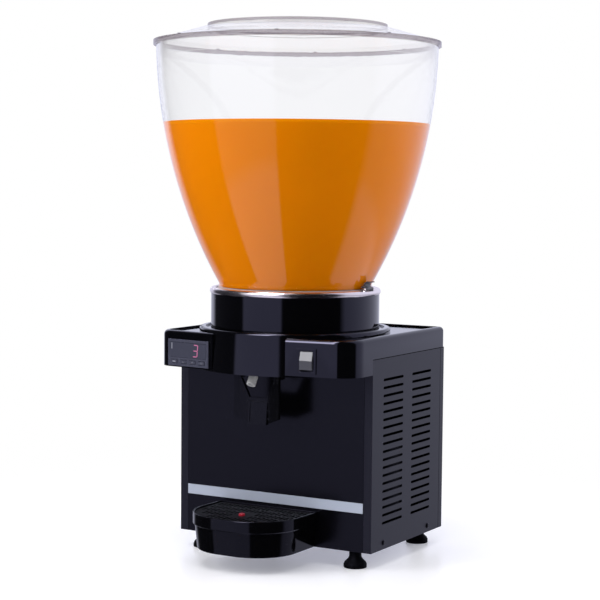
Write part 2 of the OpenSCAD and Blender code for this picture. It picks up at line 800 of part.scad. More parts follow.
module drip_tray() {
  ro = tray_r - 2;
  band_z = tray_top - band_h;
  color(black) translate([tray_x, 0, 0]) difference() {
    union() {
      tray_body(ro - draft, tray_z, ro, band_z + 1, 0);
      translate([0, 0, band_z]) linear_extrude(band_h) tray_plan(tray_r, 0);
      both() block([tongue_x - tongue_w / 2, tray_back - 1, tongue_z],
          [tongue_x + tongue_w / 2, tray_back + tongue_l, tongue_z + tongue_h]);
    }
    tray_body(ro - draft - tray_t, tray_z + tray_t, ro - tray_t - 1, grid_seat + 0.5, tray_t + 1);
    translate([0, 0, grid_seat]) linear_extrude(band_h) tray_plan(tray_r - tray_t, tray_t);
  }
}

module tray_grid() {
  pitch = (2 * grid_r - 14) / 21;
  rows = 5;
  c = tray_r - tray_round;
  step = (grid_r - c + tray_back - tray_cy - 14) / rows;
  color(black) translate([tray_x, 0, grid_top - grid_t]) linear_extrude(grid_t) difference() {
    tray_plan(grid_r, tray_t + gap);
    for (j = [0 : rows - 1], i = [0 : 21])
      let (x = (i - 10.5) * pitch, y = tray_back - tray_t - 6 - step * (j + 0.4), e = grid_r - c - 5)
      if (norm([max(0, abs(x) - c), max(0, tray_cy - y + step * 0.36)]) < e && norm([x, y - float_y]) > 15)
        translate([x, y]) square([pitch * 0.52, step * 0.72], center = true);
    translate([0, float_y]) circle(r = 4.2);
  }
}

module tray_float() {
  z = tray_z + tray_t + gap;
  color([0.75, 0.05, 0.05]) translate([tray_x, float_y, 0]) union() {
    translate([0, 0, z]) cylinder(r = 12, h = 12);
    translate([0, 0, z]) cylinder(r = 3.8, h = tray_top + 0.6 - z);
  }
}

module thermostat_body() {
  color(dark) on_ear(-1, thermo_u, thermo_z) difference() {
    union() {
      block([-thermo_w / 2, -2.2, -thermo_h / 2], [thermo_w / 2, 0, thermo_h / 2]);
      block([-thermo_w / 2 + 3.2, -1, -13.4], [thermo_w / 2 - 3.2, 40, 13.4]);
    }
    block([-thermo_w / 2 + 3, -3, -5.6], [thermo_w / 2 - 3, -1.2, 12.6]);
    for (k = [0 : key_n - 1]) key_box(k, gap, -3, 2.2);
  }
}

module display_window() {
  color([0.06, 0.03, 0.03]) on_ear(-1, thermo_u, thermo_z)
    block([-thermo_w / 2 + 3.1, -2.3, -5.5], [thermo_w / 2 - 3.1, -1.2, 12.5]);
}

module key_box(k, g, y0, y1) {
  x = (k - (key_n - 1) / 2) * key_pitch;
  block([x - 4.5 - g, y0, -12.9 - g], [x + 4.5 + g, y1, -8.9 + g]);
}

module thermo_key(k) {
  color(dark) on_ear(-1, thermo_u, thermo_z) key_box(k, 0, -2.6, 1);
}

module key_one() thermo_key(0);
module key_two() thermo_key(1);
module key_three() thermo_key(2);
module key_four() thermo_key(3);

rocker_y = 3;
rocker_w = 15.6;

module switch_body() {
  color(black) on_ear(1, switch_u, switch_z) difference() {
    union() {
      block([-switch_w / 2, -1.6, -switch_h / 2], [switch_w / 2, 0, switch_h / 2]);
      block([-switch_w / 2 + 1.9, -1, -13.4], [switch_w / 2 - 1.9, 24, 13.4]);
    }
    block([-rocker_w / 2 - 0.35, -3, -11.8], [rocker_w / 2 + 0.35, 9.5, 11.8]);
    translate([0, rocker_y, 0]) rotate([0, 90, 0])
        cylinder(r = 1.2 + play, h = rocker_w + 2.6, center = true);
  }
}

module switch_rocker() {
  color([0.55, 0.55, 0.57]) on_ear(1, switch_u, switch_z) translate([0, rocker_y, 0]) rotate([-8, 0, 0])
      union() {
    rotate([90, 0, 90]) linear_extrude(rocker_w, center = true)
      polygon([[-6, -10.6], [-7.8, 0], [-6, 10.6], [1, 8.6], [3.2, 0], [1, -8.6]]);
    rotate([0, 90, 0]) cylinder(r = 1.2, h = rocker_w + 2.2, center = true);
  }
}

module agitator_pivot() {
  color(steel) translate([0, 0, pot_z + pot_t]) union() {
    cylinder(r = 11, h = 2);
    cylinder(r = pivot_r, h = 34);
  }
}

module agitator() {
  z = pot_z + pot_t + 2 + gap;
  color(grey) translate([0, 0, z]) difference() {
    union() {
      cylinder(r = 24, h = 9);
      cylinder(r = 9, h = 34);
      for (s = [0, 180]) rotate(s) translate([33, 0, 0]) intersection() {
        difference() {
          cylinder(r = 29, h = 46);
          translate([0, 0, -1]) cylinder(r = 26, h = 48);
        }
        block([-40, 0, -1], [40, 40, 60]);
      }
    }
    translate([0, 0, -1]) cylinder(r = pivot_r + play, h = 33.5);
  }
}

module motor_bracket() {
  color(zinc) difference() {
    union() {
      block([-xi, -24, bridge_z], [xi, 24, bridge_z + 1.5]);
      both() block([xi - 1.5, -24, bridge_z - 8], [xi, 24, bridge_z + 1.5]);
    }
    translate([0, 0, bridge_z - 1]) cylinder(r = 10, h = 4);
  }
}

module agitator_motor() {
  color(dark) difference() {
    union() {
      translate([0, 0, bridge_z - motor_h]) cylinder(r = motor_r, h = motor_h - 12);
      translate([0, 0, bridge_z - 14]) cylinder(r = motor_r - 4, h = 14);
      translate([0, 0, bridge_z - motor_h - 4]) cylinder(r = 10, h = 5);
    }
    translate([0, 0, bridge_z - 24]) cylinder(r = shaft_r + play, h = 30);
  }
}

module drive_magnet() {
  color(zinc) union() {
    translate([0, 0, bridge_z - 23.5]) cylinder(r = shaft_r, h = mag_top - bridge_z + 22);
    translate([0, 0, mag_top - 13]) cylinder(r = 9, h = 7);
    translate([0, 0, mag_top - 7]) cylinder(r = 26, h = 7);
  }
}

module compressor() {
  color(black) translate([comp_x, comp_y, comp_z]) union() {
    rotate_extrude() union() {
      translate([0, 6]) square([comp_r, comp_h - 34]);
      intersection() {
        translate([0, comp_h - 28 - 65]) circle(r = 82, $fn = 128);
        translate([0, comp_h - 40]) square([comp_r, 60]);
      }
      square([comp_r - 12, 8]);
    }
    block([-44, -34, 0], [44, 34, 3]);
    translate([-18, -14, comp_h - 34]) cylinder(r = 5, h = 30);
    translate([0, 24, comp_h - 34]) cylinder(r = 5, h = 30);
  }
}

module compressor_feet() {
  color(black) for (x = [-36, 36], y = [-27, 27]) translate([comp_x + x, comp_y + y, zb])
      cylinder(r = 7, h = comp_z - zb);
}

module start_relay() {
  color(dark) difference() {
    block([comp_x - 17, comp_y - comp_r - 16, comp_z + 40], [comp_x + 17, comp_y - comp_r + 5, comp_z + 78]);
    translate([comp_x, comp_y, comp_z]) cylinder(r = comp_r, h = comp_h);
  }
}

cond_my = cond_x + cond_w / 2;

module condenser() {
  e = cond_y + cond_l;
  color(zinc) union() {
    for (i = [0 : cond_rows - 1]) rod([cond_my, cond_y - 1, cond_z + i * cond_p],
      [cond_my, e + ((i == 0 || i == cond_rows - 1) ? 8 : 1), cond_z + i * cond_p], tube_r);
    for (i = [0 : cond_rows - 2]) translate([cond_my, i % 2 == 0 ? cond_y - 1 : e + 1, cond_z + (i + 0.5)
        * cond_p])
      rotate([0, 90, 0]) rotate([0, 0, i % 2 == 0 ? 180 : 0]) rotate_extrude(angle = 180)
      translate([cond_p / 2, 0]) circle(r = tube_r, $fn = 32);
    for (j = [1 : 18]) block([cond_x, cond_y + j * cond_l / 19 - 0.4, cond_z - 12],
      [cond_x + cond_w, cond_y + j * cond_l / 19 + 0.4, cond_z + cond_p * (cond_rows - 1) + 12]);
    for (y = [cond_y, e - 1.2]) block([cond_x, y, zb],
        [cond_x + cond_w, y + 1.2, cond_z + cond_p * (cond_rows - 1) + 12]);
  }
}

module fan_shroud() {
  color(black) difference() {
    union() {
      block([fan_x, cond_y, zb], [fan_x + 1.5, cond_y + cond_l, cond_z + cond_p * (cond_rows - 1) + 12]);
      rod([fan_x, fan_y, fan_z], [fan_x + 36, fan_y, fan_z], fan_r + 4);
    }
    rod([fan_x - 1, fan_y, fan_z], [fan_x + 31, fan_y, fan_z], fan_r + 2);
    // Three windows between the spokes that carry the motor
    difference() {
      rod([fan_x + 30, fan_y, fan_z], [fan_x + 38, fan_y, fan_z], fan_r - 1);
      rod([fan_x + 29, fan_y, fan_z], [fan_x + 39, fan_y, fan_z], 24);
      for (k = [0 : 2]) translate([fan_x, fan_y, fan_z]) rotate([k * 120, 0, 0])
          block([28, -5, 10], [40, 5, fan_r + 3]);
    }
    rod([fan_x + 25, fan_y, fan_z], [fan_x + 40, fan_y, fan_z], 16.1);
  }
}

module fan_motor() {
  color(dark) difference() {
    union() {
      rod([fan_x + 28, fan_y, fan_z], [fan_x + 37, fan_y, fan_z], 16);
      rod([fan_x + 36, fan_y, fan_z], [fan_x + 66, fan_y, fan_z], 21);
    }
    rod([fan_x + 27, fan_y, fan_z], [fan_x + 46, fan_y, fan_z], 3 + play);
  }
}

module fan_blades() {
  color(dark) translate([fan_x, fan_y, fan_z]) rotate([0, 90, 0]) union() {
    translate([0, 0, 6]) cylinder(r = 14, h = 18);
    translate([0, 0, 20]) cylinder(r = 3, h = 25);
    intersection() {
      translate([0, 0, 5]) cylinder(r = fan_r, h = 20);
      for (k = [0 : 4]) rotate(k * 72) translate([8, 0, 15]) rotate([32, 0, 0])
          block([0, -17, -0.9], [60, 17, 0.9]);
    }
  }
}

drier_x = fan_x + 40;
drier_y = yi - 15;
drier_z = z0 + 45;
drier_h = 82;
cond_end = cond_y + cond_l + 8;

module filter_drier() {
  color(copper) translate([drier_x, drier_y, drier_z]) union() {
    cylinder(r = 4.4, h = drier_h);
    translate([0, 0, 8]) cylinder(r = 9, h = drier_h - 16);
  }
}

module discharge_pipe() {
  zt = comp_z + comp_h + 10;
  color(copper) pipe([[comp_x, comp_y + 24, comp_z + comp_h - 4], [comp_x, comp_y + 24, zt],
      [comp_x, yi - 8, zt],
    [cond_my, yi - 8, zt], [cond_my, yi - 8, cond_z + cond_p * (cond_rows - 1)],
    [cond_my, cond_end, cond_z + cond_p * (cond_rows - 1)]], pipe_r);
}

module liquid_pipe() {
  zt = leg_z - 14;
  color(copper) {
    pipe([[cond_my, cond_end, cond_z], [cond_my, drier_y, cond_z], [drier_x, drier_y, cond_z],
        [drier_x, drier_y, drier_z]],
      pipe_r);
    pipe([[drier_x, drier_y, drier_z + drier_h], [drier_x, drier_y, zt], [coil_in_end[0], coil_in_end[1], zt],
      [coil_in_end[0], coil_in_end[1], leg_z]], 2.2);
  }
}

module suction_pipe() {
  zt = comp_z + comp_h + 22;
  color(copper) pipe([[coil_out_end[0], coil_out_end[1], leg_z], [coil_out_end[0], coil_out_end[1], zt],
    [comp_x - 18, comp_y - 14, zt], [comp_x - 18, comp_y - 14, comp_z + comp_h - 4]], pipe_r);
}

base_plate();
left_side_panel();
right_side_panel();
front_panel();
rear_panel();
front_trim_strip();
panel_screws();
cord_gland();
foot_nuts();
tray_guide();
top_cover();
collar();
evaporator_pot();
evaporator_coil();
pot_insulation();
bowl_gasket();
latch_brackets();
latch_pins();
lever_bracket();
lever_pins();
lever_spring();
outlet_hose();
agitator_pivot();
agitator_motor();
motor_bracket();
thermostat_body();
display_window();
switch_body();
compressor();
compressor_feet();
start_relay();
condenser();
fan_shroud();
fan_motor();
filter_drier();
discharge_pipe();
liquid_pipe();
suction_pipe();
bowl();
lid();
bowl_latch_left();
bowl_latch_right();
push_lever();
drip_tray();
tray_grid();
tray_float();
switch_rocker();
key_one();
key_two();
key_three();
key_four();
foot_front_left();
foot_front_right();
foot_rear_left();
foot_rear_right();
agitator();
drive_magnet();
fan_blades();
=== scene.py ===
# %% [markdown]
# # A cold drink dispenser
# The machine stands on a counter: a louvred cabinet full of cooling machinery, a gloss black
# cover with two control faces, and a clear bowl of orange drink on top. Its solids come from the
# CAD model, which is loaded here as a fixed frame, so that places and sizes can be read from it.
# Blender adds finishes, soft edges, the drink, the lit digit, a wound spring and the studio.

import json
import math

import bmesh
import bpy
from mathutils import Matrix, Vector


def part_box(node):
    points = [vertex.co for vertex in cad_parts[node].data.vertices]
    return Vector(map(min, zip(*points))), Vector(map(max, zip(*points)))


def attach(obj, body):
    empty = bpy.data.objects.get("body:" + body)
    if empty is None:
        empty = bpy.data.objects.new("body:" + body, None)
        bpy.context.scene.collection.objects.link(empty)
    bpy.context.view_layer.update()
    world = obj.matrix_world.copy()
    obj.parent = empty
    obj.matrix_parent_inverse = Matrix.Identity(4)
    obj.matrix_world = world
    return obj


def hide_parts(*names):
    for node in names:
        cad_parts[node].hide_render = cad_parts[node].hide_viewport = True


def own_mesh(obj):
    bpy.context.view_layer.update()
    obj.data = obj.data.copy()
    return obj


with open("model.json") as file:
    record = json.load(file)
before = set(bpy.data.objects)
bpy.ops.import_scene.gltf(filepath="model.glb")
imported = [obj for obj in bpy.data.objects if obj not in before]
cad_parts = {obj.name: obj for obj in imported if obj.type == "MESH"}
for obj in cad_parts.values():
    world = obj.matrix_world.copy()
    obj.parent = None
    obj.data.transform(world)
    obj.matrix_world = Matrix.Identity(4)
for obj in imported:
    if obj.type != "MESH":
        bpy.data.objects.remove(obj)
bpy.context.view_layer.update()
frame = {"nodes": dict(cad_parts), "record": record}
nodes = frame["nodes"]
scene = bpy.context.scene
MM = 0.001

# %% [markdown]
# A finish, and the room too, is a small graph of shader nodes. It could be clicked together in
# the editor, but a script can be read and run again. One helper adds a node with its options and
# inputs, one reckons a value from two others, and one adds a colour ramp. An input is either a
# plain value or the output of another node.


# %% Helpers for shader graphs
def add(tree, kind, inputs=(), **options):
    made = tree.nodes.new("ShaderNode" + kind)
    for option, value in options.items():
        setattr(made, option, value)
    for socket, value in dict(inputs).items():
        if isinstance(value, bpy.types.NodeSocket):
            tree.links.new(value, made.inputs[socket])
        else:
            made.inputs[socket].default_value = value
    return made


def reckon(tree, operation, first, second, **options):
    made = add(tree, "Math", {0: first, 1: second}, operation=operation, **options)
    return made.outputs["Value"]


def ramp(tree, source, stops):
    """A colour ramp through (place, colour) stops, level before the first and after the last."""
    made = add(tree, "ValToRGB", {"Fac": source})
    band = made.color_ramp.elements
    for end, (place, colour) in zip(band, (stops[0], stops[-1])):
        end.position = place
        end.color = colour
    for place, colour in stops[1:-1]:
        band.new(place).color = colour
    return made.outputs["Color"]


# %% [markdown]
# Every finish here is a Principled shader fed by a little noise. A single flat colour looks
# like a computer drawing, because real paint, plastic and steel vary slightly from place to
# place. An image texture would need unwrapping, so the noise is taken in object space, which
# works on any mesh. What is the same all over is typed straight into the shader's sockets.

# %% A helper for finishes
NOISE_DETAIL = 3.0
RELIEF = 0.2 * MM


def finish(name, colour, rough, vary=0.06, grain=60.0, rough_vary=0.04, bump=0.0,
           stretch=(1, 1, 1), **sockets):
    """vary and rough_vary say how far colour and roughness stray; bump is the relief's strength."""
    material = bpy.data.materials.new(name)
    material.use_nodes = True
    tree = material.node_tree
    shader = tree.nodes["Principled BSDF"]
    place = add(tree, "TexCoord").outputs["Object"]
    scaled = add(tree, "Mapping", {"Vector": place, "Scale": stretch}).outputs["Vector"]
    pattern = add(tree, "TexNoise", {"Vector": scaled, "Scale": grain, "Detail": NOISE_DETAIL})
    noise = pattern.outputs["Fac"]
    dark = (*[c * (1 - vary) for c in colour], 1)
    light = (*[min(1, c * (1 + vary)) for c in colour], 1)
    tint = add(tree, "Mix", {"Factor": noise, "A": dark, "B": light}, data_type="RGBA")
    tree.links.new(tint.outputs["Result"], shader.inputs["Base Color"])
    smoothest, roughest = max(0.0, rough - rough_vary), min(1.0, rough + rough_vary)
    spread = add(tree, "MapRange", {"Value": noise, "To Min": smoothest, "To Max": roughest})
    tree.links.new(spread.outputs["Result"], shader.inputs["Roughness"])
    if bump:
        relief = add(tree, "Bump", {"Height": noise, "Strength": bump, "Distance": RELIEF})
        tree.links.new(relief.outputs["Normal"], shader.inputs["Normal"])
    for socket, value in sockets.items():
        shader.inputs[socket.replace("_", " ")].default_value = value
    return material


# %% [markdown]
# The moulded cover, collar, tray and lever are black plastic, the front panel is gloss paint, and
# the feet are rubber. Black pieces differ less in colour than in how sharply and how strongly
# they mirror the room, so each one has its own roughness and mirror strength, and all of them
# mirror a little more blue than red.

# %% Black finishes
COOL = (0.74, 0.72, 1.0, 1)
INK = (0.0015, 0.0015, 0.002)


def black(name, colour, rough, mirror):
    return finish(name, colour, rough, vary=0.15, rough_vary=0.02,
                  Specular_IOR_Level=mirror, Specular_Tint=COOL)


looks = {
    "black_gloss": black("gloss black moulding", INK, 0.07, 0.42),
    "tray_gloss": black("gloss black tray", INK, 0.09, 0.28),
    "grid_satin": black("satin black grid", (0.003, 0.003, 0.0035), 0.5, 0.12),
    "lever_satin": black("satin black lever", (0.003, 0.003, 0.004), 0.22, 0.17),
    "front_paint": black("gloss black panel", (0.0015, 0.0014, 0.0022), 0.2, 0.22),
    "machine_black": black("black machine paint", (0.004, 0.004, 0.005), 0.35, 0.3),
    "rubber": black("black rubber", INK, 0.6, 0.05),
}
print("black finishes:", len(looks))

# %% [markdown]
# The pot's flange is stainless steel, and the machinery inside has zinc plated sheet, aluminium
# fins and copper pipes. A metal takes its colour from its mirror image, so Metallic is full and
# the base colour tints the reflection. Steel gets a brushed look from noise that is squeezed
# along the axis, which draws it out round the ring.

# %% Metals
BRUSHED = (1, 1, 20)


def metal(name, colour, rough, vary, grain, rough_vary, stretch=(1, 1, 1)):
    return finish(name, colour, rough, vary, grain, rough_vary, stretch=stretch, Metallic=1.0)


looks.update({
    "steel": metal("stainless steel", (0.8, 0.73, 0.73), 0.22, 0.08, 90, 0.06, BRUSHED),
    "zinc_sheet": metal("zinc plated sheet", (0.42, 0.42, 0.44), 0.38, 0.15, 60, 0.08),
    "aluminium_fins": metal("aluminium fins", (0.5, 0.5, 0.52), 0.35, 0.1, 80, 0.08),
    "copper": metal("copper tube", (0.6, 0.3, 0.17), 0.28, 0.12, 70, 0.06),
    "magnet_steel": metal("magnet steel", (0.3, 0.3, 0.31), 0.4, 0.15, 90, 0.06),
})
print("finishes with metals:", len(looks))

# %% [markdown]
# The side panels are powder painted: a fine bump stands for the paint's orange peel. The trim
# strip is silver, with a grain along its length. Small mouldings are grey, red or white plastic.
# Each is one call with its own grain, which is quicker to tune than a graph for each.

# %% Paint and coloured plastics
looks.update({
    "panel_paint": finish("satin side paint", (0.008, 0.008, 0.0115), 0.3, vary=0.12, grain=900,
                          rough_vary=0.05, bump=0.05, Specular_IOR_Level=0.25, Specular_Tint=COOL),
    "pale_strip": finish("silver strip", (0.4, 0.44, 0.54), 0.4, vary=0.05, grain=120,
                         rough_vary=0.05, stretch=(1, 1, 12)),
    "foam": finish("rigid foam", (0.75, 0.68, 0.48), 0.9, vary=0.1, grain=300,
                   rough_vary=0.05, bump=0.3),
    "silicone": finish("pale silicone", (0.52, 0.52, 0.54), 0.36, grain=80, rough_vary=0.05),
    "black_plastic": finish("black plastic", (0.02, 0.021, 0.03), 0.33, vary=0.15, grain=500,
                            rough_vary=0.05, bump=0.05, Specular_Tint=COOL),
    "control_grey": finish("grey control plastic", (0.054, 0.056, 0.081), 0.26, vary=0.08,
                           grain=400, bump=0.02, Specular_Tint=COOL),
    "display": finish("smoked window", (0.051, 0.053, 0.078), 0.12, vary=0.05, grain=200,
                      rough_vary=0.03, Specular_Tint=COOL),
    "latch_grey": finish("grey latch plastic", (0.07, 0.066, 0.08), 0.25, vary=0.1, grain=200,
                         rough_vary=0.05),
    "rocker_grey": finish("grey rocker", (0.065, 0.065, 0.08), 0.2, grain=90,
                          Specular_IOR_Level=0.32),
    "float_red": finish("red plastic", (0.4, 0.012, 0.03), 0.35, vary=0.1, grain=120,
                        rough_vary=0.05),
    "white_plastic": finish("white plastic", (0.7, 0.7, 0.7), 0.4, vary=0.05, grain=120,
                            rough_vary=0.05),
})
print("finishes with paint and plastics:", len(looks))

# %% [markdown]
# The bowl and lid are clear plastic, moulded or blown in one piece. The bowl's wall swallows a
# little light, red and green more than blue, so that it looks violet where one looks along it.
# Caustics would need very many samples, so lamps shine straight through both pieces, as they
# nearly do through a thin clear wall. A coat gives the faint sheen of handled plastic.

# %% Clear plastic
CLEAR_BODY = (0.985, 0.987, 0.996)
LAMP_THROUGH = (0.97, 0.97, 0.98, 1)
WALL_TINT, WALL_DENSITY = (0.3, 0.26, 0.6, 1), 4.5


def clear(name, index, coat):
    material = finish(name, CLEAR_BODY, 0.02, vary=0.005, grain=25, rough_vary=0.01,
                      Transmission_Weight=1.0, IOR=index, Coat_Weight=coat, Coat_Roughness=0.03)
    tree = material.node_tree
    is_shadow = add(tree, "LightPath").outputs["Is Shadow Ray"]
    plastic = tree.nodes["Principled BSDF"].outputs["BSDF"]
    through = add(tree, "BsdfTransparent", {"Color": LAMP_THROUGH}).outputs["BSDF"]
    blend = add(tree, "MixShader", {"Fac": is_shadow, 1: plastic, 2: through})
    tree.links.new(blend.outputs["Shader"], tree.nodes["Material Output"].inputs["Surface"])
    return material


looks["clear_plastic"] = clear("clear bowl plastic", index=1.33, coat=0.4)
bowl_tree = looks["clear_plastic"].node_tree
swallow = add(bowl_tree, "VolumeAbsorption", {"Color": WALL_TINT, "Density": WALL_DENSITY})
bowl_tree.links.new(swallow.outputs["Volume"], bowl_tree.nodes["Material Output"].inputs["Volume"])
print("bowl plastic swallows", WALL_DENSITY, "per metre")

# %% [markdown]
# The lid is thin sheet, which hardly bends what lies behind it, so its index is just above that
# of air. Its two rolled rims are thicker and look violet grey: the thick plastic tints the light,
# and the rolls refract the darker room behind. Modelling the rolls would take many more faces, so
# rings of colour, by distance from the axis, stand for that thickness: a violet tint with painted
# shade in place of the refracted dark.

# %% Lid plastic
# RIM is a violet tint with painted shade, standing for the darker room that the thick rolled rims
# refract.
CLEAR, RIM = (0.99, 0.988, 0.995, 1), (0.22, 0.19, 0.22, 1)
INNER_RIM = [(0.306, CLEAR), (0.31, RIM), (0.3135, RIM), (0.317, CLEAR)]
OUTER_RIM = [(0.482, CLEAR), (0.486, RIM)]
LID_AXIS = (0.5, 0.5, 0)
looks["lid_plastic"] = clear("clear lid plastic", index=1.002, coat=0.6)
lid_tree = looks["lid_plastic"].node_tree
lid_place = add(lid_tree, "TexCoord").outputs["Generated"]
in_plan = add(lid_tree, "VectorMath", {0: lid_place, 1: (1, 1, 0)}, operation="MULTIPLY")
from_axis = add(lid_tree, "VectorMath", {0: in_plan.outputs["Vector"], 1: LID_AXIS},
                operation="DISTANCE")
lid_tint_and_shade = ramp(lid_tree, from_axis.outputs["Value"], INNER_RIM + OUTER_RIM)
lid_tree.links.new(lid_tint_and_shade, lid_tree.nodes["Principled BSDF"].inputs["Base Color"])
print("lid rings:", len(INNER_RIM), "and", len(OUTER_RIM), "stops")

# %% [markdown]
# The CAD record says what each piece is made of. Some pieces of one material look different on
# the real machine, such as the duller grid in the glossy tray, so those nodes have a finish of
# their own, and all others take the one that the record names.

# %% Finish of each node
KEYS = ["key_one", "key_two", "key_three", "key_four"]
own_finish = {
    "drip_tray": "tray_gloss", "tray_grid": "grid_satin", "push_lever": "lever_satin",
    "lid": "lid_plastic", "switch_body": "black_gloss", "thermostat_body": "control_grey",
    **{key: "control_grey" for key in KEYS},
    "bowl_latch_left": "latch_grey", "bowl_latch_right": "latch_grey",
    "latch_brackets": "latch_grey",
}
slot_of = {s["node"]: s["material_slot"] for s in frame["record"]["subparts"]}
for name, piece in nodes.items():
    piece.data.materials.clear()
    piece.data.materials.append(looks[own_finish.get(name, slot_of[name])])
print("finished", len(nodes), "nodes with", len(looks), "finishes")

# %% [markdown]
# Several pieces below are built point by point in a bmesh, Blender's editable mesh: a loop of
# points, then another, and a band of faces between them. Two helpers do what they all share.


# %% Helpers for built meshes
def bridge(mesh, low, high):
    """A band of faces between two closed loops; a loop of one point makes a fan."""
    count = max(len(low), len(high))
    for k in range(count):
        n = (k + 1) % count
        corners = [low[k % len(low)], low[n % len(low)], high[n % len(high)], high[k % len(high)]]
        mesh.faces.new(list(dict.fromkeys(corners)))


def new_piece(name, mesh, material=None, smooth=False):
    data = bpy.data.meshes.new(name)
    mesh.to_mesh(data)
    mesh.free()
    if smooth:
        data.shade_smooth()
    if material:
        data.materials.append(material)
    piece = bpy.data.objects.new(name, data)
    scene.collection.objects.link(piece)
    return piece


# %% [markdown]
# On the real cover the round apron below the collar runs in behind the two control faces, which
# end in an upright step beside it. In the CAD cover the corner between them is filled flat. A
# cutter is built here that holds everything ahead of the apron between the two steps: its back
# is the apron's cone, a hair inside the CAD surface so that the two never coincide.

# %% A cutter for the cover's apron
APRON_HALF = 51 * MM
RING_R, SKIRT_R = 118 * MM, 121 * MM
RING_EDGE, RING_RISE, SKIRT_DEPTH = 3.2 * MM, 4.5 * MM, 46 * MM
PARED = 0.4 * MM
CUT_FRONT, CUT_BELOW, CUT_STEPS = -140 * MM, 2 * MM, 64
cover_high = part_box("top_cover")[1]
ring_z = cover_high.z - RING_EDGE
skirt_z = cover_high.z - RING_RISE - SKIRT_DEPTH


def apron_radius(z):
    return RING_R + (SKIRT_R - RING_R) * (ring_z - z) / (ring_z - skirt_z) - PARED


def cutter_loop(mesh, z):
    across = [APRON_HALF * (2 * k / CUT_STEPS - 1) for k in range(CUT_STEPS + 1)]
    points = [(x, -math.sqrt(apron_radius(z) ** 2 - x**2), z) for x in across]
    points += [(APRON_HALF, CUT_FRONT, z), (-APRON_HALF, CUT_FRONT, z)]
    return [mesh.verts.new(p) for p in points]


block = bmesh.new()
block_low, block_high = cutter_loop(block, skirt_z - CUT_BELOW), cutter_loop(block, ring_z)
block.faces.new(block_low)
block.faces.new(block_high)
bridge(block, block_low, block_high)
bmesh.ops.triangulate(block, faces=block.faces)
bmesh.ops.recalc_face_normals(block, faces=block.faces)
cutter = new_piece("apron_cutter", block)
print("cutter from", round(skirt_z / MM, 1), "to", round(ring_z / MM, 1), "mm up")

# %% [markdown]
# The cover is then pared as a milling cutter would do it, by a boolean on a copy of its mesh. The
# copy takes the CAD cover's place in the picture. The boolean's result is kept as a plain mesh,
# so that the cutter can go, and the soft edges further down start from clean faces.

# %% Pare the cover
WELD_GAP = 0.002 * MM
shell = bpy.data.objects.new("cover_shell", nodes["top_cover"].data.copy())
scene.collection.objects.link(shell)
join = shell.modifiers.new("join faces", "WELD")
join.merge_threshold = WELD_GAP
pare = shell.modifiers.new("pare", "BOOLEAN")
pare.object = cutter
pare.operation = "DIFFERENCE"
pare.solver = "EXACT"
bpy.context.view_layer.update()
pared = shell.evaluated_get(bpy.context.evaluated_depsgraph_get())
shell.data = bpy.data.meshes.new_from_object(pared)
shell.modifiers.clear()
bpy.data.objects.remove(cutter)
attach(shell, "cabinet")
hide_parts("top_cover")
print("pared the cover to", len(shell.data.polygons), "faces")

# %% [markdown]
# Moulded and folded edges are never knife sharp: a thin bright line runs along each one. The
# CAD edges are sharp. Every node gets a weld, which joins its separate faces. Where the line
# would show, a planar dissolve takes out triangle edges inside flat faces and a small bevel
# follows; the other nodes only get their sharp edges split. The rocker's two facets meet at a
# shallow angle, so its limit is lower.

# %% Soft edges
EDGE_WIDTH_MM = {
    "top_cover": 0.6, "collar": 0.6, "drip_tray": 0.9, "tray_float": 0.8, "push_lever": 0.8,
    "thermostat_body": 0.5, "switch_body": 0.5, "switch_rocker": 0.5, "left_side_panel": 0.4,
    "right_side_panel": 0.4, "rear_panel": 0.4, "front_trim_strip": 0.25, "cord_gland": 0.4,
    "bowl_latch_left": 0.4, "bowl_latch_right": 0.4, "foot_front_left": 0.8,
    "foot_front_right": 0.8, "foot_rear_left": 0.8, "foot_rear_right": 0.8,
    **{key: 0.25 for key in KEYS},
}
EDGE_SEGMENTS = 3
FLAT_ANGLE, EDGE_ANGLE, ROCKER_ANGLE = (math.radians(v) for v in (0.5, 35, 12))


def soften(piece, width, angle):
    flat = piece.modifiers.new("flat faces", "DECIMATE")
    flat.decimate_type = "DISSOLVE"
    flat.angle_limit = FLAT_ANGLE
    bevel = piece.modifiers.new("soft edge", "BEVEL")
    bevel.width = width
    bevel.segments = EDGE_SEGMENTS
    bevel.limit_method = "ANGLE"
    bevel.angle_limit = angle
    bevel.harden_normals = True


for name, piece in {**nodes, "top_cover": shell}.items():
    piece.data.shade_smooth()
    if "custom_normal" in piece.data.attributes:
        piece.data.attributes.remove(piece.data.attributes["custom_normal"])
    weld = piece.modifiers.new("weld", "WELD")
    weld.merge_threshold = WELD_GAP
    if name in EDGE_WIDTH_MM:
        limit = ROCKER_ANGLE if name == "switch_rocker" else EDGE_ANGLE
        soften(piece, EDGE_WIDTH_MM[name] * MM, limit)
    else:
        split = piece.modifiers.new("sharp edges", "EDGE_SPLIT")
        split.split_angle = EDGE_ANGLE
print("softened the edges of", len(EDGE_WIDTH_MM), "nodes")

# %% [markdown]
# The bowl is blown in a mould, and its wall follows one circular arc from the neck to the mouth.
# The drink needs the arc's inner side. It could be read from the mesh, but the arc is known from
# the bowl's box and a few sizes, and a formula gives it at any height.

# %% The bowl's inner profile
NECK_R, NECK_H, BOWL_WALL = 94.5 * MM, 4 * MM, 3 * MM
ARC_RISE = 10.5 * MM
bowl_low, bowl_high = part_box("bowl")
mouth_r = bowl_high.x
arc_z = bowl_high.z + ARC_RISE
neck_z = bowl_low.z + NECK_H
drop = (bowl_high.z - arc_z) ** 2 - (neck_z - arc_z) ** 2
arc_c = (mouth_r**2 - NECK_R**2 + drop) / (2 * (mouth_r - NECK_R))
arc_r = math.hypot(mouth_r - arc_c, bowl_high.z - arc_z)


def inner_radius(z):
    return arc_c + math.sqrt((arc_r - BOWL_WALL) ** 2 - (z - arc_z) ** 2)


print("inner radius at the mouth", round(inner_radius(bowl_high.z), 4))

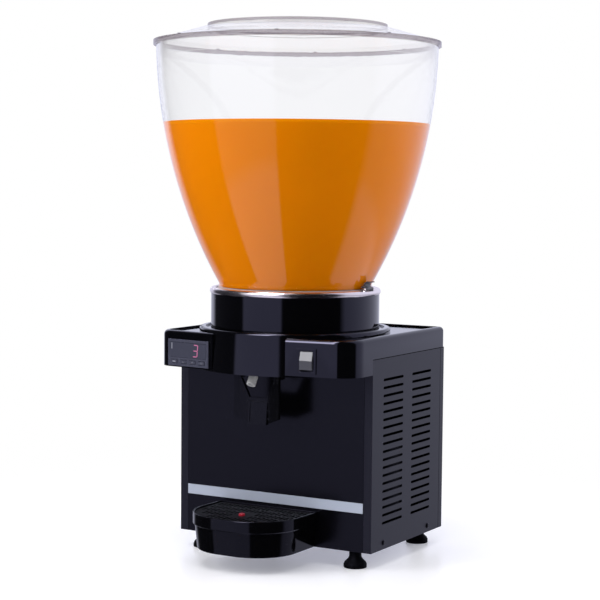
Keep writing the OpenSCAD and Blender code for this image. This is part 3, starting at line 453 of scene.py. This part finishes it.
# %% [markdown]
# The drink fills the bowl to a level seen in the photograph. It is a body of revolution, so its
# profile is turned round the axis as on a lathe. Its surface lies a little inside the clear wall,
# so that no film of air is left between drink and wall, because that film would mirror the
# surroundings.

# %% The drink's shape
DRINK_LEVEL = 532 * MM
SUNK, FLOOR_GAP, BRIM = 0.4 * MM, 0.4 * MM, 6 * MM
DRINK_RINGS, LATHE_STEPS = 40, 128


def lathe_loop(mesh, r, z):
    if r == 0:
        return [mesh.verts.new((0, 0, z))]
    turns = [2 * math.pi * k / LATHE_STEPS for k in range(LATHE_STEPS)]
    return [mesh.verts.new((r * math.cos(a), r * math.sin(a), z)) for a in turns]


drink_low = bowl_low.z + FLOOR_GAP
heights = [neck_z + (DRINK_LEVEL - neck_z) * k / DRINK_RINGS for k in range(DRINK_RINGS + 1)]
profile = [(0, drink_low), (NECK_R - BOWL_WALL + SUNK, drink_low)]
profile += [(inner_radius(z) + SUNK, z) for z in heights]
profile += [(inner_radius(DRINK_LEVEL) - BRIM, DRINK_LEVEL), (0, DRINK_LEVEL)]
turned = bmesh.new()
loops = [lathe_loop(turned, r, z) for r, z in profile]
for lower, upper in zip(loops, loops[1:]):
    bridge(turned, lower, upper)
print("drink surface radius", round(inner_radius(DRINK_LEVEL), 4))

# %% [markdown]
# Orange drink is cloudy: light goes in a little way and comes out again nearby, red furthest. A
# volume would show that best but is slow and noisy, so a small share of subsurface scattering
# on an opaque colour does it. The wall in front already shines, so the drink itself doesn't.

# %% The drink
orange = finish("orange drink", (0.84, 0.26, 0.001), 0.4, vary=0.04, grain=12, rough_vary=0.05,
                Specular_IOR_Level=0.0, Subsurface_Weight=0.1, Subsurface_Radius=(1.0, 0.5, 0.1),
                Subsurface_Scale=6 * MM)
drink = new_piece("drink", turned, orange, smooth=True)
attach(drink, "bowl")
print("drink of", len(drink.data.polygons), "faces")

# %% [markdown]
# The thermostat's window shows one red digit in seven segments, and small pale marks lie on its
# keys. On the real face they are lit or printed. They are thin plates here, which stay sharp at
# any size. The control face is turned a few degrees, so all of them are drawn in the face's own
# plane and then turned and moved onto it.

# %% Plates on the left control face
FACE_TURN = math.radians(-7)
PLATE_T = 0.25 * MM


def bar(x, z, w, h):
    left, right, low, high = x - w / 2, x + w / 2, z - h / 2, z + h / 2
    return [(left, low), (right, low), (right, high), (left, high)]


def face_plates(name, shapes, mid, proud, body, material):
    """Plates from outlines in the face's plane: x along the face, z up, in mm from mid."""
    mesh = bmesh.new()
    for outline in shapes:
        front = [mesh.verts.new((x * MM, -proud, z * MM)) for x, z in outline]
        back = [mesh.verts.new((x * MM, -proud + PLATE_T, z * MM)) for x, z in outline]
        mesh.faces.new(front)
        mesh.faces.new(back)
        bridge(mesh, front, back)
    bmesh.ops.recalc_face_normals(mesh, faces=mesh.faces)
    piece = new_piece(name, mesh, material)
    piece.matrix_world = Matrix.Translation(mid) @ Matrix.Rotation(FACE_TURN, 4, "Z")
    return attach(piece, body)


# %% [markdown]
# A seven segment digit is a set of short bars, each lit by its own lamp. The five bars that are
# lit here lean a little, as they do on most displays. They shine faintly by themselves, because
# the window is dark and the studio lights alone would leave them dull.

# %% The lit digit
DIGIT_W, DIGIT_H, STROKE = 6.6, 14.0, 1.15
DIGIT_X, LEAN, GAP_SHARE = 12.0, 0.1, 0.6
DIGIT_PROUD = 0.7 * MM
upright = DIGIT_H / 2 - STROKE * GAP_SHARE
segments = [bar(DIGIT_X, z, DIGIT_W - STROKE, STROKE) for z in (-DIGIT_H / 2, 0, DIGIT_H / 2)]
segments += [bar(DIGIT_X + DIGIT_W / 2, z, STROKE, upright) for z in (-DIGIT_H / 4, DIGIT_H / 4)]
segments = [[(x + LEAN * z, z) for x, z in outline] for outline in segments]
window_low, window_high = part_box("display_window")
window_mid = (window_low + window_high) / 2
glow = finish("lit digit", (0.3, 0.09, 0.18), 0.4, vary=0.05, grain=200, rough_vary=0.05,
              Emission_Color=(1.0, 0.3, 0.55, 1), Emission_Strength=0.26)
face_plates("lit_digit", segments, window_mid, DIGIT_PROUD, "cabinet", glow)
print("digit of", len(segments), "segments")

# %% [markdown]
# The window's upright mark and the keys' signs, a bar, two arrows and a pair of dashes, are pad
# printed on the real face. The first key's sign is bright and the others are faint. Each sign
# rides on its own key, so that it moves in when the key is pressed.

# %% Marks on the window and the keys
MARK_PROUD, KEY_PROUD = 0.62 * MM, 1.9 * MM
WINDOW_MARK = bar(-25.5, 4.5, 1.1, 7.5)
KEY_SIGNS = [
    [bar(0, 0, 4.5, 1.1)],
    [[(-1.4, -0.9), (1.4, -0.9), (0, 1.2)]],
    [[(-1.4, 0.9), (0, -1.2), (1.4, 0.9)]],
    [bar(-1.2, 0, 1.0, 2.4), bar(1.2, 0, 1.0, 2.4)],
]
pale = finish("pale print", (0.3, 0.31, 0.37), 0.5, vary=0.05, grain=300, rough_vary=0.05)
faint = finish("faint print", (0.09, 0.093, 0.12), 0.5, vary=0.05, grain=300, rough_vary=0.05)
face_plates("window_mark", [WINDOW_MARK], window_mid, MARK_PROUD, "cabinet", pale)
for k, (name, sign) in enumerate(zip(KEYS, KEY_SIGNS)):
    key_low, key_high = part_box(name)
    key_mid = (key_low + key_high) / 2
    print_tone = pale if k == 0 else faint
    face_plates(f"mark_on_{name}", sign, key_mid, KEY_PROUD, f"key_{k + 1}", print_tone)
print("window mark and", len(KEY_SIGNS), "key marks")

# %% [markdown]
# The lever's return spring is hard drawn wire wound on a mandrel, its two end turns laid close so
# that it stands square. It is caught between the lever's bar and the bracket's back plate and
# gets shorter when a cup pushes the lever. The CAD spring is rigid; this wound one takes its place.
# First comes the line that the middle of the wire follows.

# %% The spring's centre line
spring_low, spring_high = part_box("lever_spring")
spring_mid = (spring_low + spring_high) / 2
WIRE_R, CLOSE_PITCH = 0.6 * MM, 1.5 * MM
TURNS, RINGS_PER_TURN, WIRE_SIDES = 8, 20, 10
coil_r = spring_high.x - WIRE_R
coil_l = spring_high.y - spring_low.y - 2 * WIRE_R
open_pitch = (coil_l - 2 * CLOSE_PITCH) / (TURNS - 2)


def from_coil_axis(turn):
    return Vector((math.cos(2 * math.pi * turn), 0, math.sin(2 * math.pi * turn)))


def wire_centre(turn):
    close = min(turn, 1) + max(turn - (TURNS - 1), 0)
    along = CLOSE_PITCH * close + open_pitch * (turn - close)
    start = Vector((0, spring_low.y + WIRE_R, spring_mid.z))
    return start + Vector((0, along, 0)) + coil_r * from_coil_axis(turn)


print("spring of", TURNS, "turns,", round(coil_l / MM, 1), "mm long")

# %% [markdown]
# The wire is a round section carried along that line. A curve object with a bevel could do it,
# but here it is a mesh with data of its own, attached to the cabinet.

# %% The lever's spring
NUDGE = 0.01


def wire_loop(mesh, turn):
    outward = from_coil_axis(turn)
    forward = wire_centre(turn + NUDGE) - wire_centre(turn - NUDGE)
    across = forward.cross(outward).normalized()
    angles = [2 * math.pi * n / WIRE_SIDES for n in range(WIRE_SIDES)]
    section = [WIRE_R * (math.cos(a) * outward + math.sin(a) * across) for a in angles]
    return [mesh.verts.new(wire_centre(turn) + offset) for offset in section]


wire = bmesh.new()
rings = [wire_loop(wire, k / RINGS_PER_TURN) for k in range(TURNS * RINGS_PER_TURN + 1)]
for near, far in zip(rings, rings[1:]):
    bridge(wire, near, far)
wire.faces.new(rings[0][::-1])
wire.faces.new(rings[-1])
bmesh.ops.recalc_face_normals(wire, faces=wire.faces)
spring = new_piece("return_spring", wire, looks["steel"], smooth=True)
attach(spring, "cabinet")
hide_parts("lever_spring")
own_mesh(spring)
print("spring wire of", len(spring.data.polygons), "faces")

# %% [markdown]
# The floor is a pale glossy sheet. It is a disc that thins out towards its edge, so the machine
# stands on a soft shadow in an endless white room. Mirror rays miss it, because gloss black would
# otherwise show a white floor that goes on for ever. A faint glow that only the eye sees lifts
# the sheet to white and leaves the shadow.

# %% Floor finish
FADE_FROM, FADE_TO = 0.22, 0.7
FLOOR_GLOW, GLOW_COLOUR = 0.21, (0.96, 0.97, 1.08, 1)
white_floor = finish("white floor", (0.86, 0.86, 0.88), 0.3, vary=0.01, grain=2, rough_vary=0.02,
                     Emission_Color=GLOW_COLOUR)
floor_tree = white_floor.node_tree
sheet = floor_tree.nodes["Principled BSDF"]
floor_rays = add(floor_tree, "LightPath").outputs
shine = reckon(floor_tree, "MULTIPLY", floor_rays["Is Camera Ray"], FLOOR_GLOW)
floor_tree.links.new(shine, sheet.inputs["Emission Strength"])
floor_place = add(floor_tree, "TexCoord").outputs["Object"]
reach = add(floor_tree, "VectorMath", {0: floor_place}, operation="LENGTH").outputs["Value"]
fade = add(floor_tree, "MapRange", {"Value": reach, "From Min": FADE_FROM, "From Max": FADE_TO},
           interpolation_type="SMOOTHSTEP").outputs["Result"]
unseen = reckon(floor_tree, "MAXIMUM", fade, floor_rays["Is Glossy Ray"])
nothing = add(floor_tree, "BsdfTransparent").outputs["BSDF"]
thinned = add(floor_tree, "MixShader", {"Fac": unseen, 1: sheet.outputs["BSDF"], 2: nothing})
floor_out = floor_tree.nodes["Material Output"]
floor_tree.links.new(thinned.outputs["Shader"], floor_out.inputs["Surface"])
print("floor fades from", FADE_FROM, "to", FADE_TO, "m")

# %% Floor
FLOOR_R, FLOOR_SIDES = 1.6, 96
disc = bmesh.new()
floor_turns = [2 * math.pi * k / FLOOR_SIDES for k in range(FLOOR_SIDES)]
floor_rim = [(FLOOR_R * math.cos(a), FLOOR_R * math.sin(a), 0) for a in floor_turns]
disc.faces.new([disc.verts.new(p) for p in floor_rim])
floor = new_piece("floor", disc, white_floor)
print("floor of", FLOOR_R, "m radius")

# %% [markdown]
# Gloss black shows little but its surroundings, so the room matters more than the lamps. A studio
# has white walls, soft boxes and black cloth. They could be planes round the machine, but a
# background drawn by direction is easier to tune. First come the two directions that it needs:
# the compass bearing, with the machine's front at zero, and the height.

# %% Directions in the room
world = bpy.data.worlds.new("studio")
scene.world = world
world.use_nodes = True
world.cycles.sampling_method = "NONE"
room = world.node_tree
room.nodes.clear()
axes = add(room, "SeparateXYZ", {"Vector": add(room, "TexCoord").outputs["Generated"]}).outputs
ahead = reckon(room, "MULTIPLY", axes["Y"], -1)
bearing = reckon(room, "ARCTAN2", axes["X"], ahead)
bearing_share = add(room, "MapRange", {"Value": bearing, "From Min": -math.pi, "From Max": math.pi})
height_share = add(room, "MapRange", {"Value": axes["Z"], "From Min": -1})


def greys(stops):
    return [(place, (level, level, level, 1)) for place, level in stops]


def by_bearing(stops):
    shares = [((degrees + 180) / 360, level) for degrees, level in stops]
    return ramp(room, bearing_share.outputs["Result"], greys(shares))


print("room directions ready")

# %% [markdown]
# Round the compass there is white behind the machine, one tall soft box ahead and to the left,
# and black cloth round the camera. The walls are half as bright a little below the horizon, as
# they would be behind a table's edge. A small strong lamp high ahead draws the bright line along
# upper edges.

# %% Walls and overhead lamp
WALLS = [
    (-180, 0.95), (-118, 1.0), (-108, 0.05), (-46, 0.03), (-43, 1.0),
    (11, 1.0), (13, 0.01), (93, 0.01), (102, 0.84), (140, 1.0),
]
DUSK = [(0.25, 1.0), (0.285, 0.5), (0.36, 0.5), (0.475, 1.0)]
OVERHEAD = [(-34, 0), (-28, 1), (-6, 1), (0, 0)]
OVERHEAD_FROM, OVERHEAD_FULL, OVERHEAD_POWER = 0.3, 0.4, 18
dusk = ramp(room, height_share.outputs["Result"], greys(DUSK))
walls = reckon(room, "MULTIPLY", by_bearing(WALLS), dusk)
rise = add(room, "MapRange", {"Value": axes["Z"], "From Min": OVERHEAD_FROM,
                              "From Max": OVERHEAD_FULL, "To Max": OVERHEAD_POWER})
overhead = reckon(room, "MULTIPLY", by_bearing(OVERHEAD), rise.outputs["Result"])
print("walls of", len(WALLS), "stops")

# %% [markdown]
# Different rays may meet different rooms. The eye, and anything seen through clear plastic, meets
# plain white, as in a cut-out picture. Matt surfaces meet an even grey. Mirror rays meet the
# walls, tinted a little blue, and only they see the overhead lamp, which would otherwise light
# the drink through the bowl. A refracted ray counts as a mirror ray too, so it is taken off.

# %% Room
AMBIENT = 0.6
WHITE, BLUISH = (1, 1, 1, 1), (0.86, 0.88, 1.08, 1)
rays = add(room, "LightPath").outputs
plain = reckon(room, "MAXIMUM", rays["Is Camera Ray"], rays["Is Transmission Ray"])
met = reckon(room, "MAXIMUM", walls, plain)
mirror = reckon(room, "SUBTRACT", rays["Is Glossy Ray"], rays["Is Transmission Ray"], use_clamp=True)
strength = add(room, "Mix", {"Factor": rays["Is Diffuse Ray"], "A": met, "B": AMBIENT},
               data_type="FLOAT")
tone = add(room, "Mix", {"Factor": mirror, "A": WHITE, "B": BLUISH}, data_type="RGBA")
glare = add(room, "Background", {"Color": tone.outputs["Result"],
                                 "Strength": strength.outputs["Result"]})
edge_light = add(room, "Background", {"Strength": reckon(room, "MULTIPLY", overhead, mirror)})
both = add(room, "AddShader", {0: glare.outputs["Background"], 1: edge_light.outputs["Background"]})
add(room, "OutputWorld", {"Surface": both.outputs["Shader"]})
print("room of", len(room.nodes), "nodes")

# %% [markdown]
# Three soft boxes light the drink, the strip and the floor: a key lamp from the front left, a
# weaker one from behind on the right, and one overhead that makes the shadow. They are hidden
# from mirror rays, because the room above already holds every reflection that is wanted.

# %% Lamps
AIM = Vector((0, 0, 0.35))


def soft_box(name, azimuth, distance, height, size, power):
    data = bpy.data.lights.new(name, "AREA")
    data.shape = "SQUARE"
    data.size = size
    data.energy = power
    lamp = bpy.data.objects.new(name, data)
    scene.collection.objects.link(lamp)
    a = math.radians(azimuth)
    lamp.location = (distance * math.sin(a), -distance * math.cos(a), height)
    toward = AIM - lamp.location
    lamp.rotation_euler = toward.to_track_quat("-Z", "Y").to_euler()
    lamp.visible_glossy = False
    lamp.visible_transmission = False
    print(name, "lamp of", power, "W")


soft_box("key", azimuth=-45, distance=2.2, height=1.2, size=1.4, power=29)
soft_box("side", azimuth=130, distance=2.2, height=1.0, size=1.4, power=18)
soft_box("top", azimuth=10, distance=0.5, height=2.4, size=1.8, power=30)

# %% [markdown]
# The camera is set by the photograph's own geometry: its distance, tilt and slight roll were
# solved from the round rims and the cabinet's edges, so that the render lies over the photograph.
# Its three axes are worked out first and then put into one matrix.

# %% Camera
AZIMUTH, PITCH, ROLL = (math.radians(v) for v in (30.14, 4.09, 0.52))
EYE = Vector((1.05473, -1.80493, 0.4638))
FOCAL_PX, FRAME_PX, SENSOR = 1693.55, 600, 36.0
NEAR, FAR = 0.05, 100
away = Vector((math.sin(AZIMUTH), -math.cos(AZIMUTH), 0))
back = away * math.cos(PITCH) + Vector((0, 0, math.sin(PITCH)))
right = (-back).cross(Vector((0, 0, 1))).normalized()
up = right.cross(-back)
tilted_right = right * math.cos(ROLL) + up * math.sin(ROLL)
tilted_up = up * math.cos(ROLL) - right * math.sin(ROLL)
lens = bpy.data.cameras.new("camera")
lens.sensor_width = SENSOR
lens.lens = FOCAL_PX * SENSOR / FRAME_PX
lens.clip_start, lens.clip_end = NEAR, FAR
camera = bpy.data.objects.new("camera", lens)
scene.collection.objects.link(camera)
facing = Matrix((tilted_right, tilted_up, back)).transposed().to_4x4()
camera.matrix_world = Matrix.Translation(EYE) @ facing
scene.camera = camera
scene.view_settings.view_transform = "Standard"
print("lens of", round(lens.lens, 1), "mm")
